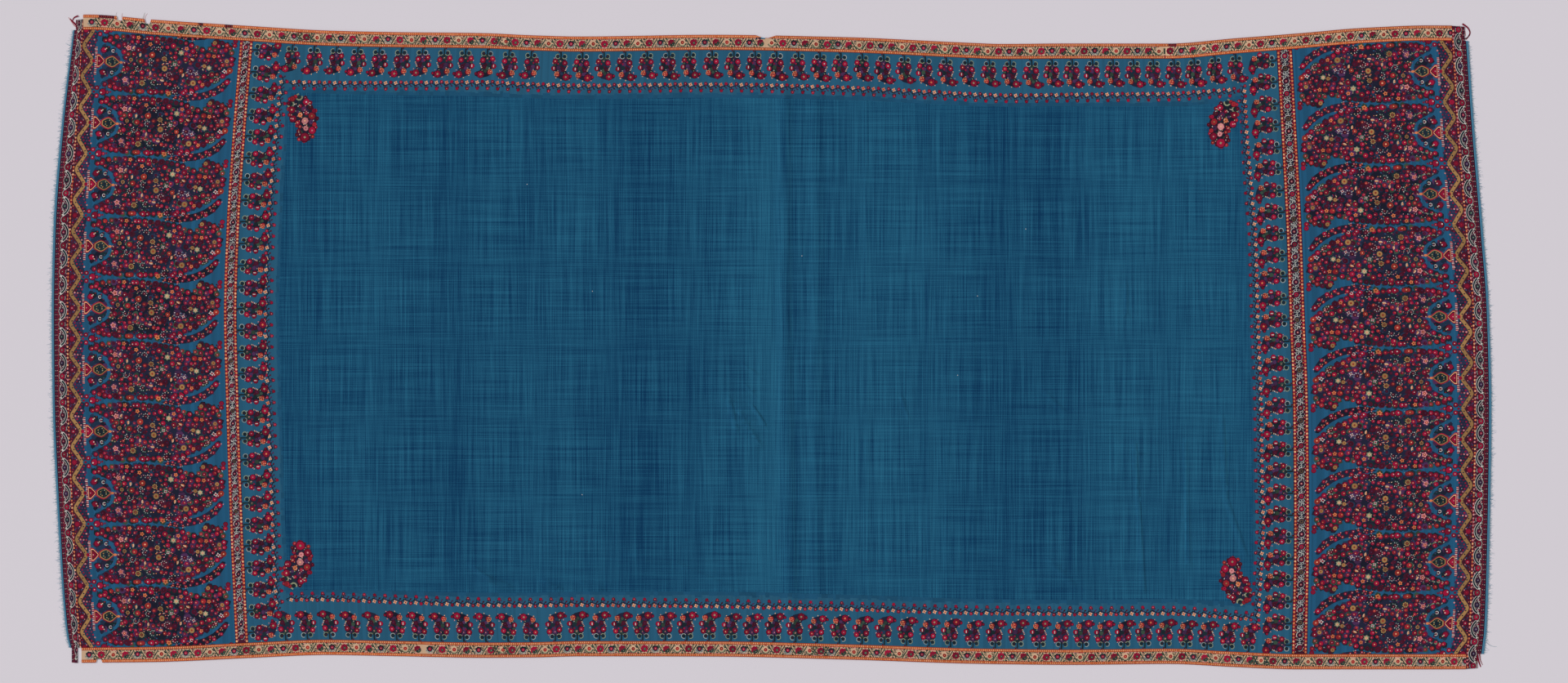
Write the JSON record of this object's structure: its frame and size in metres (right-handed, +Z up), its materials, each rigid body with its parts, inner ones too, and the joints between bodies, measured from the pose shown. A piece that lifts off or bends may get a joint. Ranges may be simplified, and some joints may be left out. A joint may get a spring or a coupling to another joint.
{
  "type": "kashmir shawl",
  "caption": "Long patterned wool shawl laid out flat: plain blue field, boteh end panels, woven borders down the sides and short loose warp ends.",
  "frame": {"origin": "on the surface the shawl lies on, under the middle of its box", "axes": "+X along the length towards the picture's right, +Y across the width towards the picture's top, +Z up out of the patterned face"},
  "size_m": [3.08, 1.3849, 0.006],
  "materials": {
    "field_twill": "soft blue twill of fine goat's wool",
    "end_panel_weave": "tapestry twill, crimson flowers on dark blue",
    "cross_band_weave": "tapestry twill, scroll between orange and red edgings",
    "end_band_weave": "tapestry twill, white and dark green scroll on maroon",
    "side_border_weave": "tapestry twill, flowers on cream between orange edgings",
    "loose_warp": "teal selvedge with fine loose warp ends"
  },
  "bodies": {
    "root": {"field": "field_twill", "end_panel_left": "end_panel_weave", "end_panel_right": "end_panel_weave", "cross_band_left": "cross_band_weave", "cross_band_right": "cross_band_weave", "end_band_left": "end_band_weave", "end_band_right": "end_band_weave", "side_border_top_1": "side_border_weave", "side_border_top_2": "side_border_weave", "side_border_top_3": "side_border_weave", "side_border_bottom_1": "side_border_weave", "side_border_bottom_2": "side_border_weave", "fringe_left": "loose_warp", "fringe_right": "loose_warp"}
  },
  "joints": []
}
